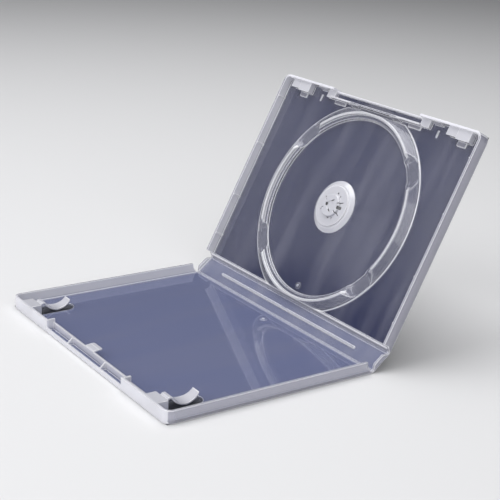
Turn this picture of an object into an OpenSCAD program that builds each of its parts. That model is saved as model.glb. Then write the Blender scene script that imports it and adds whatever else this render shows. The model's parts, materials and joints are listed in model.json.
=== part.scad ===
// Keep case for one 120 mm optical disc, shown standing open.
// A single clear moulding is divided by two living hinges into a front cover,
// a spine and a disc tray. A clear film sleeve is welded around the outside.
// Every half is drawn in its own flat frame: e runs from its hinge line to its
// opening edge, y along the spine, and n from its outer face to the inside.

/* [Case] */
// Length along the spine
case_len = 189; // [176:1:200]
// Distance from the hinge line to the straight side of the disc's ridge
hinge_margin = 2.4; // [2.2:0.1:4]
// Distance from the ridge's other straight side to the opening edge
edge_margin = 8.8; // [8.6:0.1:12]
// Thickness of the closed moulding
closed_t = 15; // [14.5:0.5:18]
// Thickness of the panels
panel_t = 1; // [0.8:0.1:1.2]
// Radius of the four outer corners
corner_r = 5; // [3:0.5:8]

/* [Open pose] */
// Angle of the spine above the floor
spine_angle = 39.5; // [0:0.5:90]
// Angle of the disc tray above the floor
tray_angle = 63; // [40:0.5:120]

/* [Walls] */
// Thickness of the edge walls
wall_t = 1.5; // [1.2:0.1:2]
// Height of the front cover's walls above its outer face
cover_rim = 7.4; // [7:0.1:7.8]
// Gap between the two rims of the closed case
rim_gap = 0.6; // [0.4:0.1:1]
// Distance from the hinge line at which a wall reaches its full height
wall_start = 4.4; // [4:0.1:6]
// Radius of the curved foot at the end of the cover's walls
foot_curve_r = 8; // [7:0.5:12]
// Places of the stiffening ribs, measured from the hinge line
hinge_ribs = [17, 46]; // [10:1:60]
// Places of the stiffening ribs, measured from the opening edge
edge_ribs = [16, 51]; // [14:1:60]
// Thickness of a stiffening rib
rib_t = 0.8; // [0.6:0.1:1.2]
// How far a stiffening rib stands in from its wall
rib_reach = 0.9; // [0.5:0.1:1.5]

/* [Living hinges] */
// Thickness of the hinge web
web_t = 0.5; // [0.4:0.05:0.6]
// Running gap between the hinge bead and the next panel's web
bead_gap = 0.12; // [0.08:0.01:0.2]
// Half of the gap along the mitres that meet when the case closes
mitre_gap = 0.25; // [0.2:0.05:0.4]
// Height of the spine's end walls
spine_end_h = 3.2; // [2.5:0.1:3.6]
// Height of the lip along the tray's hinge edge
lip_h = 2; // [1.6:0.1:2.4]
// Width of the flat on top of that lip
lip_flat = 0.7; // [0.4:0.1:1.2]
// Length of the bead along the middle of the spine
spine_bead_len = 141.6; // [100:1:150]
// Width of that bead
spine_bead_w = 1.4; // [1:0.1:2]
// Height of that bead above the spine's inner face
spine_bead_h = 0.7; // [0.4:0.1:1]

/* [Thumb recesses] */
// Width of the recess in the front cover's opening edge
cover_recess_w = 92; // [70:1:96]
// Width of the recess in the tray's opening edge
tray_recess_w = 83.4; // [60:1:90]
// Depth of the cover's recess, from the edge to its set-back wall
cover_recess_depth = 4.7; // [4.2:0.1:5]
// Depth of the tray's recess
tray_recess_depth = 5.5; // [5.3:0.1:6]
// Height of the low ledge along the edge
ledge_h = 2.4; // [2:0.1:3]
// Thickness of the ledge
ledge_t = 1.2; // [1:0.1:1.5]
// Thickness of the set-back walls
inner_wall_t = 1.1; // [1:0.1:1.3]
// Height of the set-back wall on the front cover
cover_wall_h = 5.2; // [4.6:0.1:5.6]
// Height of the set-back wall on the tray
tray_wall_h = 6; // [5.5:0.1:6.4]
// How far the tray's panel is set back along its recess
lip_setback = 0.9; // [0.5:0.1:1.2]
// Distance of the two ribs in the cover's recess from its middle
recess_rib_y = 20; // [12:1:35]
// Thickness of the recess's end walls
recess_end_t = 1.3; // [1:0.1:1.6]
// Width of the blocks beside the tray's recess
end_block_w = 7.6; // [6:0.2:9]
// Height of those blocks
end_block_h = 3.6; // [3:0.1:4.5]

/* [Catch] */
// Width of the tongue that leans in from the cover's set-back wall
hook_w = 10.2; // [8:0.2:14]
// Reach of the tongue from the outer face of that wall
hook_reach = 3.7; // [3:0.1:3.7]
// Height of the underside of its tip above the top of the wall
hook_lift = 0.3; // [0:0.1:0.6]
// Thickness of the tongue
hook_t = 0.8; // [0.7:0.1:1]

/* [Leaflet clips] */
// Distance of each clip's middle from the end of the case
clip_margin = 18.3; // [17.5:0.1:24]
// Width of the mould slot under a clip
slot_w = 12.8; // [11:0.2:12.8]
// Distance from the opening edge to the slot's square end
slot_setback = 8; // [7:0.1:9]
// Length of the slot
slot_len = 24.2; // [22:0.2:27]
// Width of the spring leaf at its root
leaf_root_w = 7; // [6:0.2:9]
// Width of the spring leaf at its lowest point
leaf_w = 8.8; // [7:0.2:10]
// Width of the spring leaf at its tip
leaf_tip_w = 6; // [4:0.2:8]
// Thickness of the spring leaf
leaf_t = 0.9; // [0.8:0.1:1.1]
// Radius of the underside of the curved leaf
leaf_r = 10.8; // [9.6:0.1:12.4]
// Height of the underside of the leaf at its lowest point
leaf_dip = 1.3; // [1.2:0.1:2.5]
// Angle of the curve from that lowest point to the tip
leaf_tip_angle = 49; // [40:1:56]
// Width of the bump between the block and the curve
bump_w = 2.9; // [2.6:0.1:3.4]
// Depth of the shallow valley on top of the bump
bump_valley = 0.8; // [0.4:0.1:1]
// Width of the clip's root block
block_w = 13; // [13:0.2:15]

/* [Catch boxes] */
// Width of each box in the tray's outer corners
box_w = 19.6; // [14:0.2:21]
// Height of the box's lower half
box_h = 5.2; // [4.5:0.1:5.8]
// Step up to its higher half
box_step = 0.6; // [0.3:0.1:1]
// Depth of its higher half from the opening edge
box_depth = 8; // [7:0.2:10]
// How far the lower half's front is set back from the higher half's
box_setback = 1; // [0.6:0.1:1.4]

/* [Disc seat] */
// Diameter of the disc
disc_d = 120; // [119.5:0.1:120.5]
// Clearance around the disc
seat_clear = 1.2; // [0.6:0.1:1.5]
// Width of the ledge under the disc's edge
shelf_w = 2.7; // [1.7:0.1:4]
// Height of that ledge
shelf_h = 2.9; // [2.5:0.1:3.1]
// Height of the ridge around the disc
ridge_h = 5; // [4.5:0.1:5.6]
// Width of the flat on top of the ridge
ridge_flat = 1.4; // [1:0.1:2]
// Width of the ridge with its sloping foot
ridge_w = 7.1; // [6:0.1:8.5]
// Thickness of the seat's wall where the ridge is cut off straight
chord_wall = 1.2; // [1:0.1:1.6]
// Wall thickness of the hollow ridge
ridge_wall = 0.9; // [0.8:0.1:1.1]
// Angle of the finger notches from the line along the spine
notch_angle = 36; // [30:1:42]
// Radius of the round dish that makes a finger notch
dish_r = 19.3; // [17:0.1:22]
// Height of the notch's floor above the panel
notch_step = 0.4; // [0.2:0.1:0.8]

/* [Hub] */
// Radius of the platform's sloping foot
platform_r = 17.2; // [16:0.1:18]
// Radius of the shoulder at the top of the foot
shoulder_r = 14.6; // [14.2:0.1:15.2]
// Height of the shoulder
shoulder_h = 2.5; // [2:0.1:2.8]
// Radius of the face that carries the disc
carrier_r = 13.4; // [12.6:0.1:13.8]
// Height of the face that carries the disc
platform_h = 3.4; // [3.2:0.1:3.8]
// Radius of the button that holds the disc by its 15 mm hole
button_r = 7.45; // [7.3:0.01:7.48]
// Height of the button's straight side above the platform
button_side = 1.4; // [1.2:0.1:2]
// Chamfer around the top of the button
button_edge = 0.4; // [0.3:0.1:0.6]
// Radius at which the long slits of the button start
slit_from = 5.5; // [5:0.1:6]
// Radius at which they end in the platform
slit_to = 10; // [9.2:0.1:11]
// Width of a slit
slit_w = 0.6; // [0.4:0.1:0.9]
// Angle of the long slits from the line along the spine
slit_angle = 26; // [20:1:35]
// Distance of the gate mark from each hinge line
gate_e = 10.4; // [8:0.2:14]
// Radius of the gate mark
gate_r = 2.2; // [1.5:0.1:3]

/* [Film sleeve] */
// Thickness of the film
film_t = 0.15; // [0.1:0.05:0.25]
// Distance from the film's edge to the case's edge
film_inset = 0.8; // [0.5:0.1:2]

/* [Hidden] */
$fn = 96;
half_len = case_len / 2;
seat_r = disc_d / 2 + seat_clear;
shelf_r = seat_r - shelf_w;
ridge_foot_r = seat_r + ridge_w;
chord = seat_r + chord_wall;
seat_e = hinge_margin + chord;
panel_w = seat_e + chord + edge_margin;
rib_places = concat(hinge_ribs, [for (d = edge_ribs) panel_w - d]);
clip_y = half_len - clip_margin;
tray_rim = closed_t - rim_gap - cover_rim;
web_low = 0.05;
button_top = platform_h + button_side + button_edge;
hub_wall = 1.1;
axis_h = web_low + web_t / 2;
web_top = web_low + web_t;
web_end = web_t / 2 + bead_gap;
hinge_gap = closed_t - 2 * axis_h;
mitre = mitre_gap - axis_h;
foot_n = spine_end_h;
foot_e = foot_n + mitre;
axis1 = [panel_w / 2, film_t + axis_h];
axis2 = axis1 + hinge_gap * [cos(spine_angle), sin(spine_angle)];
cut = 1;
slot_end = panel_w - slot_setback;
leaf_n = leaf_dip + leaf_r;
leaf_root_e = slot_end - bump_w;
dip_e = leaf_root_e - sqrt(leaf_r * leaf_r - (leaf_n - cover_rim) * (leaf_n - cover_rim));
leaf_tip_e = dip_e - leaf_r * sin(leaf_tip_angle);
cover_inner_face = panel_w - cover_recess_depth;
tray_inner_face = panel_w - tray_recess_depth;
floor_bite = 0.2;

// Sets a flat half in its place in the open case
module on_cover() { translate([panel_w / 2, 0, film_t]) mirror([1, 0, 0]) children(); }
module on_axis(axis, angle) {
    translate([axis[0], 0, axis[1]]) rotate([0, -angle, 0]) translate([0, 0, -axis_h]) children();
}
module on_spine() { on_axis(axis1, spine_angle) children(); }
module on_tray() { on_axis(axis2, tray_angle) children(); }

// Runs an outline drawn as (e, n) along y, centred on y = 0
module along_y(length) { rotate([90, 0, 0]) linear_extrude(length, center = true) children(); }

// Block with its low corner at (e, y centre, n)
module block(e, n, size_e, size_y, size_n) {
    translate([e, -size_y / 2, n]) cube([size_e, size_y, size_n]);
}

// Outline of a half, with its two outer corners rounded
module half_outline(inset) {
    far = panel_w - inset;
    side = half_len - inset;
    r = corner_r - inset;
    translate([-cut, -side]) square([far - r + cut, 2 * side]);
    translate([-cut, r - side]) square([far + cut, 2 * (side - r)]);
    for (s = [-1, 1]) translate([far - r, s * (side - r)]) circle(r);
}

// Panel and edge walls of a half, before its hinge edge is mitred
module half_shell(rim) {
    linear_extrude(panel_t) half_outline(0);
    linear_extrude(rim) difference() {
        half_outline(0);
        half_outline(wall_t);
    }
}

// What is cut away at a hinge edge: the web's end, the mitre and the wall's end
module hinge_edge_cut(rim, end_e) {
    along_y(case_len + 2 * cut) polygon([
        [-2 * cut, -cut], [web_end, -cut], [web_end, web_top], [web_top + mitre, web_top],
        [foot_e, foot_n], [end_e, foot_n], [end_e, rim + cut], [-2 * cut, rim + cut]
    ]);
}

// Front cover

module clip_profile() {
    // Curved leaf, from its tip up to the bump
    difference() {
        translate([dip_e, leaf_n]) circle(leaf_r);
        translate([dip_e, leaf_n]) circle(leaf_r - leaf_t);
        translate([leaf_tip_e - 2 * leaf_r, 0]) square([2 * leaf_r, 3 * leaf_r]);
        translate([dip_e - 2 * leaf_r, cover_rim]) square([4 * leaf_r, 3 * leaf_r]);
    }
    // Bump and root block
    polygon([
        [slot_end, 0], [slot_end, cover_rim - 2.1], [leaf_root_e + 0.3, cover_rim - 1.1],
        [leaf_root_e - 0.6, cover_rim - 0.7], [leaf_root_e - 0.6, cover_rim],
        [leaf_root_e + 0.3 * bump_w, cover_rim],
        [leaf_root_e + 0.65 * bump_w, cover_rim - bump_valley], [slot_end, cover_rim],
        [panel_w - wall_t / 2, cover_rim], [panel_w - wall_t / 2, 0]
    ]);
}

module clip_plan() {
    polygon([
        [leaf_tip_e - cut, -leaf_tip_w / 2], [dip_e, -leaf_w / 2], [slot_end, -leaf_root_w / 2],
        [slot_end, -block_w / 2], [panel_w, -block_w / 2], [panel_w, block_w / 2],
        [slot_end, block_w / 2], [slot_end, leaf_root_w / 2], [dip_e, leaf_w / 2],
        [leaf_tip_e - cut, leaf_tip_w / 2]
    ]);
}

module clip() {
    intersection() {
        along_y(block_w + cut) clip_profile();
        linear_extrude(closed_t) clip_plan();
    }
}

module clip_slot() {
    r = slot_w / 2;
    translate([0, 0, -cut]) linear_extrude(panel_t + 2 * cut) {
        translate([slot_end - slot_len + r, -r]) square([slot_len - r, slot_w]);
        translate([slot_end - slot_len + r, 0]) circle(r);
    }
}

// Set-back wall and ledge of a thumb recess
module recess_walls(width, inner_face, wall_h, edge) {
    block(inner_face - inner_wall_t, 0, inner_wall_t, width + 2 * recess_end_t, wall_h);
    block(edge - ledge_t, 0, ledge_t, width, ledge_h);
}

module recess_cut(width, inner_face, rim) {
    translate([0, 0, panel_t])
        block(inner_face, 0, panel_w - inner_face + cut, width, rim + cut);
}

// Nearly level tongue on top of the set-back wall, over the leaflet's edge
module hook() {
    tip = cover_inner_face - hook_reach;
    low = cover_wall_h + hook_lift;
    along_y(hook_w) polygon([
        [cover_inner_face, cover_wall_h - 1], [cover_inner_face, cover_wall_h + 0.3],
        [cover_inner_face - 0.5, cover_wall_h + hook_t], [tip + 0.2, low + hook_t],
        [tip, low + hook_t - 0.2], [tip, low], [cover_inner_face - inner_wall_t, cover_wall_h - 0.1],
        [cover_inner_face - inner_wall_t, cover_wall_h - 1]
    ]);
}

module cover_opening_edge() {
    recess_walls(cover_recess_w, cover_inner_face, cover_wall_h, panel_w);
    // End walls of the recess, up to the full height of the rim
    for (s = [-1, 1])
        translate([0, s * (cover_recess_w + recess_end_t) / 2, 0])
            block(cover_inner_face - inner_wall_t, 0, panel_w - cover_inner_face + inner_wall_t,
                  recess_end_t, cover_rim);
    // Two thin gussets from the top of the set-back wall down to the ledge
    for (s = [-1, 1])
        translate([0, s * recess_rib_y, 0]) along_y(rib_t) polygon([
            [cover_inner_face - floor_bite, panel_t / 2], [cover_inner_face - floor_bite, cover_wall_h],
            [cover_inner_face + 0.6, cover_wall_h], [panel_w - ledge_t + floor_bite, ledge_h],
            [panel_w - ledge_t + floor_bite, panel_t / 2]
        ]);
    // Low wall from the recess to the nearer clip
    near_from = cover_recess_w / 2;
    near_to = clip_y - block_w / 2 + floor_bite;
    translate([0, -(near_from + near_to) / 2, 0])
        block(cover_inner_face - inner_wall_t, 0, inner_wall_t, near_to - near_from,
              cover_wall_h - 1.2);
    hook();
}

module gate_mark() {
    translate([gate_e, 0, 0]) {
        cylinder(h = panel_t + 0.4, r = gate_r);
        cylinder(h = panel_t + 0.8, r1 = gate_r, r2 = gate_r / 3);
    }
}

module cover_body() {
    difference() {
        half_shell(cover_rim);
        hinge_edge_cut(cover_rim, foot_e);
        // Curved foot at the end of both side walls
        translate([wall_start - foot_curve_r, 0, cover_rim])
            rotate([90, 0, 0]) cylinder(h = case_len + 2 * cut, r = foot_curve_r, center = true);
        recess_cut(cover_recess_w, cover_inner_face, cover_rim);
        for (s = [-1, 1]) translate([0, s * clip_y, 0]) clip_slot();
    }
    cover_opening_edge();
    for (s = [-1, 1]) translate([0, s * clip_y, 0]) clip();
    gate_mark();
}

module front_cover() { color([0.78, 0.80, 0.86, 0.6]) on_cover() cover_body(); }

// Spine

module spine_profile() {
    far = hinge_gap;
    polygon([
        [0, web_low], [far, web_low], [far, web_top], [far - web_top - mitre, web_top],
        [far - panel_t - mitre, panel_t], [panel_t + mitre, panel_t], [web_top + mitre, web_top],
        [0, web_top]
    ]);
}

module spine_end_profile() {
    low = web_top - mitre;
    high = spine_end_h - mitre;
    far = hinge_gap;
    polygon([
        [low, web_top], [high - 0.6, spine_end_h - 0.6], [high + 0.5, spine_end_h],
        [far - high - 0.5, spine_end_h], [far - high + 0.6, spine_end_h - 0.6],
        [far - low, web_top]
    ]);
}

module spine_body() {
    along_y(case_len) spine_profile();
    for (s = [-1, 1])
        translate([0, s * (half_len - wall_t / 2), 0]) along_y(wall_t) spine_end_profile();
    // Round beads that the two living hinges turn about
    for (v = [0, hinge_gap])
        translate([v, 0, axis_h]) rotate([90, 0, 0])
            cylinder(h = case_len, r = web_t / 2, center = true);
    // Stiffening bead along the middle
    translate([hinge_gap / 2, 0, 0]) {
        block(-spine_bead_w / 2, 0, spine_bead_w, spine_bead_len - spine_bead_w, panel_t + spine_bead_h);
        for (s = [-1, 1])
            translate([0, s * (spine_bead_len - spine_bead_w) / 2, 0])
                cylinder(h = panel_t + spine_bead_h, r = spine_bead_w / 2);
    }
}

module spine() { color([0.74, 0.77, 0.85, 0.6]) on_spine() spine_body(); }

// Disc tray

// Section of the ridge around the disc, drawn as (r, n)
module ridge_profile() {
    polygon([
        [shelf_r, 0], [shelf_r, shelf_h - 0.4], [shelf_r + 0.4, shelf_h], [seat_r, shelf_h],
        [seat_r, ridge_h - 0.3], [seat_r + 0.3, ridge_h], [seat_r + ridge_flat, ridge_h],
        [ridge_foot_r, panel_t], [ridge_foot_r, 0]
    ]);
}

// Hollow under the ridge, open at the outer face
module ridge_hollow() {
    lift = ridge_wall;
    polygon([
        [shelf_r + lift, -cut], [shelf_r + lift, shelf_h - lift], [seat_r + lift, shelf_h - lift],
        [seat_r + lift, ridge_h - lift], [seat_r + ridge_flat - 0.2, ridge_h - lift],
        [ridge_foot_r - 2.6 * lift, panel_t - 0.1], [ridge_foot_r - 2.6 * lift, -cut]
    ]);
}

module notch_places() {
    for (side = [0, 180], a = [-notch_angle, notch_angle])
        rotate([0, 0, 90 + side + a]) translate([(shelf_r + ridge_foot_r) / 2, 0, 0]) children();
}

module between_chords(margin) {
    half = chord - margin;
    translate([-half, -case_len / 2, -2 * cut]) cube([2 * half, case_len, closed_t]);
}

module disc_ridge() {
    intersection() {
        rotate_extrude() ridge_profile();
        between_chords(0);
    }
}

// Everything hollowed from the outer face under the ridge, clear of the notches
module ridge_core() {
    difference() {
        intersection() {
            rotate_extrude() ridge_hollow();
            between_chords(ridge_wall);
        }
        notch_places() translate([0, 0, dish_r]) sphere(dish_r + ridge_wall);
    }
}

// Round dishes through the ridge, down to a low floor
module notch_cut() {
    notch_places() intersection() {
        translate([0, 0, dish_r]) sphere(dish_r);
        translate([-dish_r, -dish_r, panel_t + notch_step]) cube([2 * dish_r, 2 * dish_r, ridge_h]);
    }
}

module hub() {
    translate([0, 0, panel_t])
        cylinder(h = shoulder_h - panel_t, r1 = platform_r, r2 = shoulder_r);
    cylinder(h = platform_h, r = carrier_r);
    cylinder(h = button_top - button_edge, r = button_r);
    translate([0, 0, button_top - button_edge])
        cylinder(h = button_edge, r1 = button_r, r2 = button_r - button_edge);
}

// Upright slot through the button, as long as given, about (e, y) and turned by an angle
module hub_slot(e, y, length, width, angle) {
    translate([e, y, platform_h - hub_wall - cut]) rotate([0, 0, angle])
        translate([-length / 2, -width / 2, 0]) cube([length, width, closed_t]);
}

// Hollows, slits and windows of the hub
module hub_cut() {
    // Hollow under the platform and the button, open at the outer face
    translate([0, 0, -cut]) cylinder(h = platform_h - hub_wall + cut, r = carrier_r - hub_wall);
    translate([0, 0, -cut]) cylinder(h = button_top - hub_wall + cut, r = button_r - hub_wall);
    // Two pairs of long slits, which free a spring tongue at each side
    for (side = [0, 180], s = [-1, 1])
        rotate([0, 0, 90 + side + s * slit_angle])
            hub_slot((slit_from + slit_to) / 2, 0, slit_to - slit_from, slit_w, 0);
    for (s = [-1, 1]) {
        // Short slanting slits between the tongues
        hub_slot(s * 3.4, -0.9, 2.6, 0.8, s * -60);
        // Small gaps where the button meets the platform
        hub_slot(s * (button_r - 0.3), -4, 0.8, 0.9, 0);
    }
    hub_slot(button_r + 1.2, -1, 1, 1.1, 0);
    hub_slot(-button_r - 0.2, -1, 1, 1.1, 0);
    // Shallow dish in the middle, and the windows in the two tongues
    translate([0, 0, button_top - 0.4]) cylinder(h = cut, r = button_r - 4.6);
    translate([0, button_r - 4.1, -cut]) cylinder(h = closed_t, r = 1.1);
    translate([-0.6, -button_r - 1.7, -cut]) cube([2, 3, closed_t]);
}

module catch_box() {
    front = panel_w - box_depth;
    back = panel_w - wall_t / 2;
    low_front = front + box_setback;
    low_w = box_w * 0.45;
    translate([0, (box_w - low_w) / 2, 0]) block(low_front, 0, back - low_front, low_w, box_h);
    translate([0, -low_w / 2, 0]) block(front, 0, back - front, box_w - low_w, box_h + box_step);
    // Small foot in front of it
    translate([0, -1.7, 0]) block(front - 3, 0, 3 + box_setback + floor_bite, 7, panel_t + 0.6);
}

// Wedge under the rim that steadies the closed cover
module wedge_lug(length) {
    along_y(length) polygon([
        [0, 0], [0, tray_wall_h - 0.6], [-0.5, tray_wall_h - 0.6], [-1.6, panel_t], [-1.6, 0]
    ]);
}

module tray_opening_edge() {
    lug_len = 8;
    wall_lug_y = tray_recess_w / 2 + end_block_w + 1.4 + lug_len / 2;
    recess_walls(tray_recess_w, tray_inner_face, tray_wall_h, panel_w - lip_setback);
    for (s = [-1, 1]) {
        translate([0, s * (tray_recess_w + end_block_w) / 2, 0])
            block(tray_inner_face - inner_wall_t, 0, panel_w - tray_inner_face + inner_wall_t,
                  end_block_w, end_block_h);
        translate([panel_w - wall_t + floor_bite, s * wall_lug_y, 0]) wedge_lug(lug_len);
        translate([panel_w - wall_t + floor_bite, s * (clip_y + box_w / 2 + 2.4), 0])
            wedge_lug(5.2);
        // Thin floor rib beside the lug
        translate([0, s * (wall_lug_y + 1.6), 0])
            block(panel_w - 10.2, 0, 4.4, rib_t, panel_t + 0.6);
        translate([tray_inner_face - inner_wall_t + floor_bite, s * recess_rib_y, 0])
            wedge_lug(lug_len);
        // Low pad at the foot of the set-back wall
        translate([0, s * (tray_recess_w / 2 - 5.6), 0])
            block(tray_inner_face - inner_wall_t - 2.4, 0, 2.6, 10.8, panel_t + 0.6);
        translate([0, s * clip_y, 0]) catch_box();
    }
}

module tray_side_ribs() {
    for (s = [-1, 1], e = rib_places)
        translate([0, s * (half_len - wall_t - rib_reach / 2 + floor_bite), 0])
            block(e - rib_t / 2, 0, rib_t, rib_reach + floor_bite, tray_rim - 0.3);
}

module tray_lip() {
    along_y(case_len - 2 * wall_t + 2 * floor_bite) polygon([
        [panel_t + mitre, panel_t], [lip_h + mitre, lip_h], [lip_h + mitre + lip_flat, lip_h],
        [lip_h + mitre + lip_flat + 0.6, panel_t], [lip_h + mitre, panel_t / 2]
    ]);
}

module tray_body() {
    difference() {
        union() {
            difference() {
                half_shell(tray_rim);
                hinge_edge_cut(tray_rim, foot_e + 0.4);
                recess_cut(tray_recess_w, tray_inner_face, tray_rim);
                translate([0, 0, -cut])
                    block(panel_w - lip_setback, 0, lip_setback + cut, tray_recess_w, closed_t);
            }
            translate([seat_e, 0, 0]) {
                disc_ridge();
                hub();
            }
        }
        translate([seat_e, 0, 0]) {
            ridge_core();
            notch_cut();
            hub_cut();
        }
    }
    tray_opening_edge();
    tray_side_ribs();
    tray_lip();
    gate_mark();
}

module disc_tray() { color([0.76, 0.79, 0.86, 0.6]) on_tray() tray_body(); }

// Film sleeve: one clear sheet, divided where it folds with the hinges

module film_panel(from, to) {
    half = half_len - film_inset;
    translate([from, -half, -film_t]) cube([to - from, 2 * half, film_t]);
}

module film_front() { color([0.9, 0.93, 1, 0.3]) on_cover() film_panel(web_end, panel_w - film_inset); }
module film_spine() { color([0.9, 0.93, 1, 0.3]) on_spine() film_panel(web_end, hinge_gap - web_end); }
module film_back() { color([0.9, 0.93, 1, 0.3]) on_tray() film_panel(web_end, panel_w - film_inset); }

front_cover();
spine();
disc_tray();
film_front();
film_spine();
film_back();
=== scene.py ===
# %% [markdown]
# An open disc case in clear moulded plastic, dressed for a render.
# The moulding and its film sleeve come from the CAD frame and keep their exact size.
# This script adds the finishes, the flexing skins and film folds at the two hinges, the
# tip of the tongue, the floor, the light and the camera. Every length is in metres, in
# the frame of the CAD model.

# %% Load the frame
import json
import math

import bmesh
import bpy
from mathutils import Matrix, Quaternion, Vector


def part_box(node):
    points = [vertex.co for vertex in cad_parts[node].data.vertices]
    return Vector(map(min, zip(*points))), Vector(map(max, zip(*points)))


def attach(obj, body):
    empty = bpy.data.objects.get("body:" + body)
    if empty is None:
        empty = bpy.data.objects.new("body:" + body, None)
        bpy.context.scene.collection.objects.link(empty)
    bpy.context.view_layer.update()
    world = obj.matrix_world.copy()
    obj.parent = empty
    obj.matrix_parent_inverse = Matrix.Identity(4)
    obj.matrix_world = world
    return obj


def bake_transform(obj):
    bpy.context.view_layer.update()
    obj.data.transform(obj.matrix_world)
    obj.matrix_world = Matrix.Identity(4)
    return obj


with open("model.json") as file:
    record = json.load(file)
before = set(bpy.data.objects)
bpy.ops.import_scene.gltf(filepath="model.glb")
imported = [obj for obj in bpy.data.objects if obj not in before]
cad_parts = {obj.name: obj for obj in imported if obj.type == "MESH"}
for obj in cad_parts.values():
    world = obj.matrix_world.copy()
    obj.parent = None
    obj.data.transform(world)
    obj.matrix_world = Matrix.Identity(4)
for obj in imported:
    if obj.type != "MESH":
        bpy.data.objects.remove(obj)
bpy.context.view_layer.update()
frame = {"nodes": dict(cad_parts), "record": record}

MM = 0.001

# %% [markdown]
# The case stands open, so each of its three stiff parts has its own flat frame: e runs
# from its hinge towards its far edge, n from its outer face to the inside. Both can be
# read from the joints: one hinge line to the next gives the slope of the spine, and the
# tray's folding range says how much further the tray leans.

# %% Flat frames of the cover, the spine and the tray
joints = {j["name"]: j for j in frame["record"]["behaviour"]["joints"]}
cover_axis = Vector(joints["cover_hinge"]["pos_m"])
tray_axis = Vector(joints["tray_hinge"]["pos_m"])
spine_span = tray_axis - cover_axis
spine_angle = math.atan2(spine_span.z, spine_span.x)
tray_angle = spine_angle - math.radians(joints["tray_hinge"]["range_deg"][0])
FILM = 0.15 * MM
AXIS_HEIGHT = cover_axis.z - FILM
HALF_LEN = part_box("front_cover")[1].y


def flat_frame(axis, angle, outward=1):
    """The hinge point at the outer face, the direction of e and the direction of n."""
    along = Vector((outward * math.cos(angle), 0, math.sin(angle)))
    normal = Vector((-outward * math.sin(angle), 0, math.cos(angle)))
    return axis - normal * AXIS_HEIGHT, along, normal


cover_flat = flat_frame(cover_axis, 0, outward=-1)
spine_flat = flat_frame(cover_axis, spine_angle)
tray_flat = flat_frame(tray_axis, tray_angle)
print("spine leans", round(math.degrees(spine_angle), 1), "degrees and the tray",
      round(math.degrees(tray_angle), 1))

# %% [markdown]
# The camera comes first, because every later choice is judged through it. Its place was
# worked out from the corners of the case in the photograph: a long lens, a little above
# the table, turned very slightly about its own axis.

# %% Camera
CAMERA_AT = Vector((-0.3590, -0.5740, 0.2846))
LOOKS_AT = Vector((0.0400, -0.0070, 0.0515))
FOCAL_IN_FRAMES = 1224.2 / 500
ROLL = math.radians(2.81)

camera_data = bpy.data.cameras.new("camera")
camera_data.sensor_width = 36
camera_data.lens = FOCAL_IN_FRAMES * camera_data.sensor_width
camera_data.clip_start = 0.01
camera = bpy.data.objects.new("camera", camera_data)
bpy.context.scene.collection.objects.link(camera)
camera.location = CAMERA_AT
aim = (LOOKS_AT - CAMERA_AT).to_track_quat("-Z", "Y")
camera.rotation_euler = (aim @ Quaternion((0, 0, 1), ROLL)).to_euler()
bpy.context.scene.camera = camera
print("lens", round(camera_data.lens, 1), "mm")

# %% [markdown]
# Node trees are easier to read when each node is one short line. These helpers add a
# node, set its values and wire it, and return the socket that the next node needs.


# %% Helpers for node trees
def new_material(name):
    material = bpy.data.materials.new(name)
    material.use_nodes = True
    material.node_tree.nodes.clear()
    return material, material.node_tree


def feed(tree, socket, value):
    """Wires a socket to another socket, or sets it to a plain value."""
    if isinstance(value, bpy.types.NodeSocket):
        tree.links.new(value, socket)
    else:
        socket.default_value = value


def maths(tree, operation, first, second=0.0):
    node = tree.nodes.new("ShaderNodeMath")
    node.operation = operation
    feed(tree, node.inputs[0], first)
    feed(tree, node.inputs[1], second)
    return node.outputs[0]


def ramp(tree, value, low, high, out_low=0.0, out_high=1.0):
    """A smooth step from one value to another as the input passes from low to high."""
    node = tree.nodes.new("ShaderNodeMapRange")
    node.interpolation_type = "SMOOTHSTEP"
    feed(tree, node.inputs["Value"], value)
    node.inputs["From Min"].default_value = low
    node.inputs["From Max"].default_value = high
    node.inputs["To Min"].default_value = out_low
    node.inputs["To Max"].default_value = out_high
    return node.outputs["Result"]


def mix_colour(tree, share, first, second):
    node = tree.nodes.new("ShaderNodeMix")
    node.data_type = "RGBA"
    feed(tree, node.inputs["Factor"], share)
    feed(tree, node.inputs["A"], first)
    feed(tree, node.inputs["B"], second)
    return node.outputs["Result"]


def finish_tree(tree, shader):
    """Wires the shader to the material's output."""
    output = tree.nodes.new("ShaderNodeOutputMaterial")
    feed(tree, output.inputs["Surface"], shader.outputs["BSDF"])


def distance_along(tree, point, direction):
    """How far a spot of the surface lies from a point, measured along one direction."""
    place = tree.nodes.new("ShaderNodeTexCoord").outputs["Object"]
    dot = tree.nodes.new("ShaderNodeVectorMath")
    dot.operation = "DOT_PRODUCT"
    feed(tree, dot.inputs[0], place)
    dot.inputs[1].default_value = direction
    return maths(tree, "SUBTRACT", dot.outputs["Value"], point.dot(direction))


# %% [markdown]
# Clear polypropylene is one material, but it doesn't look like one. The flat panels are a
# millimetre thick, so they show what lies behind them. Walls, ribs, clips and the hub are
# seen edge on or through several skins, so they look white and milky. The ridge round the
# disc is thin and hollow, so it stays nearly as clear as the panel. A fine bright line is
# painted along every edge as a highlight, for the light that the edge pipes, and the slits
# in the hub are painted dark as shade. All of this is drawn by masks that read where a spot
# lies in the flat frame of its own half. First come the places and colours that they use.

# %% Places and colours that the plastic's look depends on
PANEL_W = 136 * MM
PANEL_TOP = 1.0 * MM
WALL_T = 1.5 * MM
LIP_E = 2.9 * MM
GATE_E = 10.4 * MM
GATE_R = 2.6 * MM
HUB_E = 64.8 * MM
HUB_R = 17.2 * MM
HUB_FACE = 3.4 * MM
SLITS_R = 12.2 * MM
BUTTON_R = 7.45 * MM
BUTTON_FACE = 5.2 * MM
SHELF_R = 58.5 * MM
SEAT_R = 61.2 * MM
RIDGE_TOP_R = 62.6 * MM
RIDGE_FOOT_R = 68.3 * MM
CHORD = 62.4 * MM
FINE_LINE = (0.2 * MM, 0.5 * MM)

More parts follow.
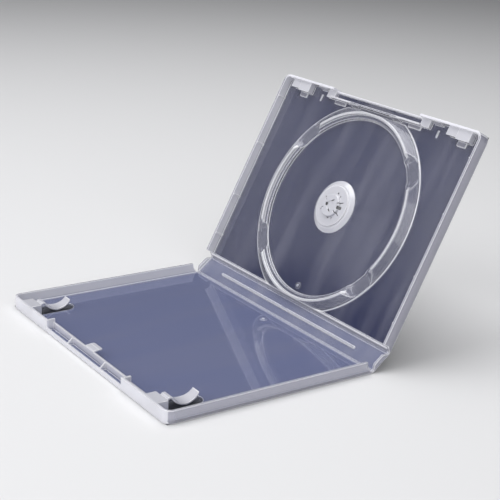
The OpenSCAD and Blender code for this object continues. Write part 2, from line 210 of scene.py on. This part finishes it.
MILKY_TINT = (0.70, 0.70, 0.76, 1)
RIDGE_TINT = (0.80, 0.80, 0.85, 1)
WALL_TINT = (0.38, 0.38, 0.46, 1)
OPENING_TINT = (0.86, 0.86, 0.93, 1)
# The slit tint is painted shade for the hub's slits.
SLIT_SHADE_TINT = (0.015, 0.015, 0.02, 1)
# The edge tint and alpha make a painted highlight along every edge.
EDGE_HIGHLIGHT_TINT = (0.96, 0.96, 1.0, 1)

RIDGE_ALPHA = 0.6
MILKY_ALPHA = 0.75
WALL_ALPHA = 0.55
EDGE_HIGHLIGHT_ALPHA = 0.92
MILKY_ROUGHNESS = 0.22
print("the ridge is", round((RIDGE_FOOT_R - SEAT_R) / MM, 1), "mm wide")

# %% [markdown]
# A mask is a value between zero and one. Two masks are joined by multiplying them, which
# keeps only what both cover, or by taking the larger, which keeps what either covers.


# %% Helpers that join masks and mix values
def both(tree, first, second):
    """High only where both masks are high."""
    return maths(tree, "MULTIPLY", first, second)


def either(tree, first, second):
    """High where one of the masks is high."""
    return maths(tree, "MAXIMUM", first, second)


def away_from(tree, value, centre):
    """How far a value lies from a centre, on either side of it."""
    return maths(tree, "ABSOLUTE", maths(tree, "SUBTRACT", value, centre))


def mix_value(tree, share, first, second):
    """First at a share of zero, second at a share of one."""
    node = tree.nodes.new("ShaderNodeMix")
    feed(tree, node.inputs["Factor"], share)
    feed(tree, node.inputs["A"], first)
    feed(tree, node.inputs["B"], second)
    return node.outputs["Result"]


# %% [markdown]
# The Bevel node gives the normal that the surface would have if its edges were rounded.
# Where that normal leaves the flat one, an edge is near, so the gap between them is a mask
# for the painted highlight line along every edge.
# The streaks are partly painted reflection and partly the faint flow marks of moulded
# plastic. They run from the hinge to the opening edge, so the noise is squeezed along that
# way.

# %% Painted edge highlights and streaks of painted reflection
EDGE_RADIUS = 0.85 * MM
EDGE_FROM, EDGE_FULL = 0.008, 0.09
STREAK_SQUEEZE = 0.12
STREAK_SCALE = 55
STREAK_STRENGTH = 0.5


def edge_highlight_share(tree):
    """Painted edge highlight mask, one at an edge and zero away, and the rounded normal
    that found it.
    """
    bevel = tree.nodes.new("ShaderNodeBevel")
    bevel.samples = 6
    bevel.inputs["Radius"].default_value = EDGE_RADIUS
    flat = tree.nodes.new("ShaderNodeNewGeometry").outputs["Normal"]
    dot = tree.nodes.new("ShaderNodeVectorMath")
    dot.operation = "DOT_PRODUCT"
    feed(tree, dot.inputs[0], bevel.outputs["Normal"])
    feed(tree, dot.inputs[1], flat)
    off = maths(tree, "SUBTRACT", 1.0, dot.outputs["Value"])
    return ramp(tree, off, EDGE_FROM, EDGE_FULL), bevel.outputs["Normal"]


def flow_and_reflection_streaks(tree, across, along):
    """Long soft streaks, painted reflection and flow haze: noise quick across, slow along.
    """
    place = tree.nodes.new("ShaderNodeCombineXYZ")
    feed(tree, place.inputs["X"], across)
    feed(tree, place.inputs["Y"], maths(tree, "MULTIPLY", along, STREAK_SQUEEZE))
    noise = tree.nodes.new("ShaderNodeTexNoise")
    noise.inputs["Scale"].default_value = STREAK_SCALE
    noise.inputs["Detail"].default_value = 4
    noise.inputs["Distortion"].default_value = 0.4
    feed(tree, noise.inputs["Vector"], place.outputs["Vector"])
    soft = ramp(tree, noise.outputs["Fac"], 0.40, 0.75)
    return maths(tree, "MULTIPLY", soft, STREAK_STRENGTH)


# %% [markdown]
# These masks are the same for the cover, the spine and the tray. What stands higher than
# the panel is milky. The side walls and the wall at the opening edge have tints of their
# own. A painted highlight line runs along every edge and along the foot of each side wall.
# The gate, a dot left where the plastic was let into the mould, keeps only a quarter of
# that painted highlight at its edges.


# %% Masks for every half
def moulding_masks(tree, height, e, y):
    """Milky body, side wall, opening wall, painted edge highlight, and the softened normal.
    """
    side = away_from(tree, y, 0.0)
    wall_from = HALF_LEN - WALL_T
    edge, soft_normal = edge_highlight_share(tree)
    # A painted highlight line along the foot of each side wall, on the panel.
    foot_highlight = ramp(tree, away_from(tree, side, wall_from), *FINE_LINE, 0.7, 0.0)
    on_panel = ramp(tree, height, PANEL_TOP + 0.2 * MM, PANEL_TOP + 0.6 * MM, 1.0, 0.0)
    return {
        "body": ramp(tree, height, PANEL_TOP + 0.1 * MM, PANEL_TOP + 1.2 * MM),
        "wall": ramp(tree, side, wall_from, wall_from + 0.4 * MM),
        "opening": ramp(tree, e, PANEL_W - WALL_T, PANEL_W - WALL_T + 0.3 * MM),
        "edge": either(tree, edge, both(tree, foot_highlight, on_panel)),
        "ridge": 0.0,
        "slit": 0.0,
    }, soft_normal


def dim_highlight_round_gate(tree, edge, e, y):
    """Takes most of the painted edge highlight away round the gate."""
    gate = either(tree, away_from(tree, e, GATE_E), away_from(tree, y, 0.0))
    return both(tree, edge, ramp(tree, gate, GATE_R, GATE_R + 0.8 * MM, 0.25, 1.0))


# %% [markdown]
# Only the tray has a disc seat. Its masks go by the distance from the middle of the hub.
# The ridge is nearly clear with a bright crown, which is its upright wall and flat top. A
# fine painted highlight line follows its foot round the arcs and along both straight sides.
# The hub is milky, and a spot inside it that lies well below its face is in a slit, which
# is painted dark as shade.


# %% Masks for the disc seat
def ring(tree, radius, inner, outer):
    """One between two pairs of radii, rising over the first and falling over the second."""
    return both(tree, ramp(tree, radius, *inner), ramp(tree, radius, *outer, 1.0, 0.0))


def add_ridge(tree, mask, radius, off_e, height):
    """The ridge round the disc, its bright crown and the painted highlight line at its
    foot.
    """
    seat = ring(tree, radius, (SHELF_R - 1.0 * MM, SHELF_R - 0.5 * MM),
                (RIDGE_FOOT_R + 0.3 * MM, RIDGE_FOOT_R + 0.6 * MM))
    crown = ring(tree, radius, (SEAT_R - 0.4 * MM, SEAT_R - 0.1 * MM),
                 (RIDGE_TOP_R, RIDGE_TOP_R + 0.5 * MM))
    crown = both(tree, crown, ramp(tree, height, 2.7 * MM, 3.2 * MM))
    mask["ridge"] = both(tree, seat, mix_value(tree, crown, 0.2, 0.92))
    mask["body"] = both(tree, mask["body"], maths(tree, "SUBTRACT", 1.0, seat))

    past_arc = maths(tree, "SUBTRACT", radius, RIDGE_FOOT_R)
    past_chord = maths(tree, "SUBTRACT", away_from(tree, off_e, 0.0), CHORD)
    from_outline = away_from(tree, either(tree, past_arc, past_chord), 0.0)
    # The painted highlight line along the ridge's foot, kept low.
    ridge_foot_highlight = ramp(tree, from_outline, *FINE_LINE, 0.75, 0.0)
    low = ramp(tree, height, 2.0 * MM, 3.0 * MM, 1.0, 0.0)
    mask["edge"] = either(tree, mask["edge"], both(tree, ridge_foot_highlight, low))


def add_hub(tree, mask, radius, height):
    """The milky hub, the painted shade in its slits, and a fainter painted edge highlight
    there.
    """
    hub = ramp(tree, radius, HUB_R - 0.2 * MM, HUB_R + 0.2 * MM, 1.0, 0.0)
    mask["body"] = either(tree, mask["body"], hub)
    face = ramp(tree, radius, BUTTON_R - 0.3 * MM, BUTTON_R - 0.2 * MM,
                BUTTON_FACE, HUB_FACE)
    depth = maths(tree, "SUBTRACT", face, height)
    inside = ramp(tree, radius, SLITS_R, SLITS_R + 0.4 * MM, 1.0, 0.0)
    # Painted shade: the slits are drawn dark.
    mask["slit"] = both(tree, inside, ramp(tree, depth, 0.45 * MM, 0.55 * MM))
    # A fainter painted edge highlight among the slits.
    fainter_highlight = ramp(tree, radius, SLITS_R - 0.7 * MM, SLITS_R + 0.3 * MM, 0.35, 1.0)
    mask["edge"] = both(tree, mask["edge"], fainter_highlight)


def add_disc_seat(tree, mask, height, e, y):
    off_e = maths(tree, "SUBTRACT", e, HUB_E)
    squares = maths(tree, "ADD", both(tree, off_e, off_e), both(tree, y, y))
    radius = maths(tree, "SQRT", squares)
    add_ridge(tree, mask, radius, off_e, height)
    add_hub(tree, mask, radius, height)
    # A milky band along the hinge lip: painted light that brightens its face where it lies
    # in shade.
    lip_painted_light = ramp(tree, e, LIP_E, LIP_E + 0.4 * MM, 0.55, 0.0)
    mask["body"] = either(tree, mask["body"], lip_painted_light)


# %% [markdown]
# The masks are laid over each other from the panel upwards, first for the colour and then
# for the alpha, which says how much of what lies behind is hidden. The colour carries the
# painted reflection streaks, the painted edge highlights and the painted shade in the
# slits;
# other gloss and reflections come from the shader and the lamps. The shader's constant
# values are set on its own sockets.


# %% Clear moulded plastic
def layer_colour(tree, mask, panel):
    layers = (("ridge", RIDGE_TINT), ("body", MILKY_TINT), ("wall", WALL_TINT),
              ("opening", OPENING_TINT), ("edge", EDGE_HIGHLIGHT_TINT), ("slit", SLIT_SHADE_TINT))
    colour = panel
    for part, tint in layers:
        colour = mix_colour(tree, mask[part], colour, tint)
    return colour


def layer_alpha(tree, mask, panel):
    layers = (("ridge", RIDGE_ALPHA), ("body", MILKY_ALPHA), ("wall", WALL_ALPHA),
              ("edge", EDGE_HIGHLIGHT_ALPHA))
    alpha = panel
    for part, share in layers:
        alpha = mix_value(tree, mask[part], alpha, share)
    return alpha


def clear_gloss(tree):
    """Roughness of the clear panel, low and a little uneven."""
    haze = tree.nodes.new("ShaderNodeTexNoise")
    haze.inputs["Scale"].default_value = 38
    haze.inputs["Detail"].default_value = 3
    place = tree.nodes.new("ShaderNodeTexCoord").outputs["Object"]
    feed(tree, haze.inputs["Vector"], place)
    return ramp(tree, haze.outputs["Fac"], 0.3, 0.7, 0.03, 0.07)


def clear_plastic(name, flat, panel_tint, flow_and_reflection_tint, panel_alpha, gloss_ior,
                  with_disc_seat=False):
    """Moulded plastic that is clear on its panel and milky on what stands up from it."""
    material, tree = new_material(name)
    point, along, normal = flat
    height = distance_along(tree, point, normal)
    e = distance_along(tree, point, along)
    y = distance_along(tree, Vector((0, 0, 0)), Vector((0, 1, 0)))

    mask, soft_normal = moulding_masks(tree, height, e, y)
    if with_disc_seat:
        add_disc_seat(tree, mask, height, e, y)
    walls = either(tree, mask["wall"], mask["opening"])
    mask["body"] = either(tree, mask["body"], walls)
    mask["edge"] = dim_highlight_round_gate(tree, mask["edge"], e, y)
    # Streaks of painted reflection and flow haze across the panel tint.
    panel = mix_colour(tree, flow_and_reflection_streaks(tree, y, e), panel_tint, flow_and_reflection_tint)
    roughness = mix_value(tree, mask["body"], clear_gloss(tree), MILKY_ROUGHNESS)

    shader = tree.nodes.new("ShaderNodeBsdfPrincipled")
    feed(tree, shader.inputs["Base Color"], layer_colour(tree, mask, panel))
    feed(tree, shader.inputs["Alpha"], layer_alpha(tree, mask, panel_alpha))
    feed(tree, shader.inputs["Roughness"], roughness)
    feed(tree, shader.inputs["Normal"], soft_normal)
    shader.inputs["IOR"].default_value = gloss_ior
    shader.inputs["Coat Weight"].default_value = 0.9
    shader.inputs["Coat Roughness"].default_value = 0.04
    finish_tree(tree, shader)
    print(name, "has", len(tree.nodes), "nodes")
    return material


# %% [markdown]
# The three halves share the material's recipe and differ in tint and gloss. The tray is the
# darkest, as the photograph has it: its dark panel tint is painted shade, for the dark seen
# through it, and the lighter panel tints of the cover and spine are painted light, so the
# halves are lit and shaded copies of one clear plastic. Each CAD object is then dressed in
# its own.

# %% Dress the moulding
def dress(node, material):
    obj = frame["nodes"][node]
    obj.data.materials.clear()
    obj.data.materials.append(material)
    for face in obj.data.polygons:
        face.material_index = 0


# The cover's and spine's lighter panel tints are painted light, the tray's dark tint
# painted shade.
cover_plastic = clear_plastic(
    "cover_plastic", cover_flat, panel_tint=(0.26, 0.295, 0.52, 1),
    flow_and_reflection_tint=(0.32, 0.34, 0.52, 1), panel_alpha=0.5, gloss_ior=2.2)
spine_plastic = clear_plastic(
    "spine_plastic", spine_flat, panel_tint=(0.26, 0.28, 0.42, 1),
    flow_and_reflection_tint=(0.38, 0.39, 0.50, 1), panel_alpha=0.5, gloss_ior=1.7)
tray_plastic = clear_plastic(
    "tray_plastic", tray_flat, panel_tint=(0.03, 0.038, 0.12, 1),
    flow_and_reflection_tint=(0.26, 0.265, 0.36, 1), panel_alpha=0.45, gloss_ior=1.6,
    with_disc_seat=True)
dress("front_cover", cover_plastic)
dress("spine", spine_plastic)
dress("disc_tray", tray_plastic)

# %% [markdown]
# The real sleeve is a clear film. The photograph shows the case on black, and this scene
# has a pale floor, so the film is drawn dark and half see-through: it stands for the dark
# that shows through the case. It is glossy and never quite flat, so a stretched noise tilts
# its surface and breaks its reflections.

# %% Film
FILM_TINT = (0.05, 0.055, 0.08, 1)
FILM_ALPHA = 0.52
RIPPLE_STRETCH = (1, 6, 1)


def sleeve_film():
    material, tree = new_material("sleeve_film")
    place = tree.nodes.new("ShaderNodeTexCoord").outputs["Object"]
    stretch = tree.nodes.new("ShaderNodeMapping")
    stretch.inputs["Scale"].default_value = RIPPLE_STRETCH
    feed(tree, stretch.inputs["Vector"], place)
    ripple = tree.nodes.new("ShaderNodeTexNoise")
    ripple.inputs["Scale"].default_value = 12
    feed(tree, ripple.inputs["Vector"], stretch.outputs["Vector"])
    bump = tree.nodes.new("ShaderNodeBump")
    bump.inputs["Strength"].default_value = 0.08
    bump.inputs["Distance"].default_value = 2 * MM
    feed(tree, bump.inputs["Height"], ripple.outputs["Fac"])
    shader = tree.nodes.new("ShaderNodeBsdfPrincipled")
    shader.inputs["Base Color"].default_value = FILM_TINT
    shader.inputs["Roughness"].default_value = 0.1
    shader.inputs["Alpha"].default_value = FILM_ALPHA
    feed(tree, shader.inputs["Normal"], bump.outputs["Normal"])
    finish_tree(tree, shader)
    return material


film = sleeve_film()
for node in ("film_front", "film_spine", "film_back"):
    dress(node, film)
print("film on three panels, alpha", FILM_ALPHA)

# %% [markdown]
# New pieces are made with bmesh operators and turned into objects by one helper. The
# tongue on the cover's set-back wall reaches further in the photograph than the solid does.
# Its tip is a small bevelled slab: a cube that is scaled, bevelled on the two corners at
# its free end and moved to its place.

# %% Tip of the tongue
TIP_SIZE = (2.4 * MM, 10.2 * MM, 0.8 * MM)
TIP_CORNER = 0.8 * MM
TIP_AT = (126.5 * MM, 5.95 * MM)


def place_matrix(flat, e, n):
    """Turns (e, y, n) axes at the origin into a half's flat frame, moved to (e, n)."""
    point, along, normal = flat
    turn = Matrix((along, Vector((0, 1, 0)), normal)).transposed().to_4x4()
    return Matrix.Translation(point + along * e + normal * n) @ turn


def add_mesh(name, bm, material):
    mesh = bpy.data.meshes.new(name)
    bm.to_mesh(mesh)
    bm.free()
    obj = bpy.data.objects.new(name, mesh)
    bpy.context.scene.collection.objects.link(obj)
    obj.data.materials.append(material)
    return obj


def is_free_corner(edge):
    """An upright edge of the slab at the end that points away from the wall."""
    one, two = (corner.co for corner in edge.verts)
    return abs(one.z - two.z) > 0.5 * TIP_SIZE[2] and one.x < 0


bm = bmesh.new()
bmesh.ops.create_cube(bm, size=1)
bmesh.ops.scale(bm, verts=bm.verts, vec=TIP_SIZE)
free_corners = [edge for edge in bm.edges if is_free_corner(edge)]
bmesh.ops.bevel(bm, geom=free_corners, offset=TIP_CORNER, offset_type="OFFSET",
                affect="EDGES", segments=4, profile=0.5, material=-1)
bmesh.ops.transform(bm, verts=bm.verts, matrix=place_matrix(cover_flat, *TIP_AT))
bmesh.ops.recalc_face_normals(bm, faces=bm.faces)
tongue_tip = add_mesh("tongue_tip", bm, cover_plastic)
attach(tongue_tip, "cover")
print("tongue tip has", len(tongue_tip.data.polygons), "faces")

# %% [markdown]
# On the real case each living hinge is one thin skin of plastic, and the film sleeve folds
# with it. The CAD frame has a round bead in a small gap there, so two closed strips bridge
# each hinge line: a skin over the bead and a fold of film under it. A strip starts as a
# flat grid, is extruded to a thin box, and then each of its points is moved onto the bend:
# it follows the first body up to the hinge line and the next body after it.

# %% Shape of a strip bent along a living hinge
COLUMNS = 12


def thin_box(columns):
    """A closed box from -1 to 1 in x and y and 0 to 1 in z, cut into columns along x."""
    bm = bmesh.new()
    bmesh.ops.create_grid(bm, x_segments=columns, y_segments=1, size=1)
    grown = bmesh.ops.extrude_face_region(bm, geom=bm.faces[:], use_keep_orig=True)
    top = [part for part in grown["geom"] if isinstance(part, bmesh.types.BMVert)]
    bmesh.ops.translate(bm, verts=top, vec=(0, 0, 1))
    return bm


def bent_strip(name, material, axis, before, after, reach, heights, half_length):
    """A closed strip along a hinge line, between two flat frames and two heights."""
    bm = thin_box(COLUMNS)
    low, high = heights
    for vert in bm.verts:
        t, side, level = vert.co
        share = ((t + 1) / 2) ** 2 * (2 - t)
        normal = before[2].slerp(after[2], share)
        run = before[1] * max(-t, 0) + after[1] * max(t, 0)
        lift = normal * (low + (high - low) * level - AXIS_HEIGHT)
        vert.co = axis + run * reach + lift + Vector((0, side * half_length, 0))
    bmesh.ops.recalc_face_normals(bm, faces=bm.faces)
    return add_mesh(name, bm, material)


# %% Hinge skins and film folds
SKIN_REACH, SKIN_HEIGHTS = 0.9 * MM, (0.02 * MM, 0.6 * MM)
FOLD_REACH, FOLD_HEIGHTS = 0.5 * MM, (-FILM, 0.01 * MM)
SKIN_HALF = HALF_LEN - 0.2 * MM
FOLD_HALF = HALF_LEN - 0.9 * MM
spine_from_tray = (spine_flat[0], -spine_flat[1], spine_flat[2])
HINGES = (
    ("cover", cover_axis, cover_flat, spine_flat, "cover", "back"),
    ("tray", tray_axis, spine_from_tray, tray_flat, "back", "tray"),
)
for side, axis, before, after, first, second in HINGES:
    skin = bent_strip("hinge_skin_" + side, spine_plastic, axis, before, after,
                      SKIN_REACH, SKIN_HEIGHTS, SKIN_HALF)
    fold = bent_strip("film_fold_" + side, film, axis, before, after,
                      FOLD_REACH, FOLD_HEIGHTS, FOLD_HALF)
    for piece, span in ((skin, SKIN_REACH), (fold, FOLD_REACH)):
        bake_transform(piece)
    print(skin.name, "and", fold.name, "bend between", first, "and", second)

# %% [markdown]
# The floor is one large pale plane, a hair below the case so that the two don't flicker.

# %% Floor
FLOOR_SIZE = 30
FLOOR_DROP = 0.2 * MM
floor_material, floor_tree = new_material("pale_floor")
floor_shader = floor_tree.nodes.new("ShaderNodeBsdfPrincipled")
floor_shader.inputs["Base Color"].default_value = (0.66, 0.66, 0.67, 1)
floor_shader.inputs["Roughness"].default_value = 0.7
finish_tree(floor_tree, floor_shader)

bm = bmesh.new()
bmesh.ops.create_grid(bm, x_segments=1, y_segments=1, size=FLOOR_SIZE / 2)
bmesh.ops.translate(bm, verts=bm.verts, vec=(0, 0, -FLOOR_DROP))
floor = add_mesh("floor", bm, floor_material)
print("floor is", FLOOR_SIZE, "m across")

# %% [markdown]
# The lamps are big and soft, and the world gives a little more from all round, so that a
# colour renders about as it is written. Large lamps also mirror gently in the glossy
# panels, where small bright ones would burn a white patch.


# %% Light
def soft_light(name, at, towards, size, power):
    data = bpy.data.lights.new(name, "AREA")
    data.shape = "RECTANGLE"
    data.size, data.size_y = size
    data.energy = power
    obj = bpy.data.objects.new(name, data)
    bpy.context.scene.collection.objects.link(obj)
    obj.location = at
    aim = (Vector(towards) - Vector(at)).to_track_quat("-Z", "Y")
    obj.rotation_euler = aim.to_euler()
    print(name, "gives", power, "W")


soft_light("overhead", (0.1, 0.3, 1.5), (0, 0, 0), (1.4, 1.4), 23)
soft_light("left_side", (-1.3, 0.5, 0.8), (0, 0, 0.05), (1.3, 1.5), 15)
soft_light("front_fill", (-0.7, -1.5, 0.9), (0, 0, 0.05), (2.4, 1.8), 24)

world = bpy.data.worlds.new("studio")
world.use_nodes = True
background = world.node_tree.nodes["Background"]
background.inputs["Color"].default_value = (0.9, 0.93, 1.0, 1)
background.inputs["Strength"].default_value = 0.07
bpy.context.scene.world = world
bpy.context.scene.view_settings.view_transform = "Standard"
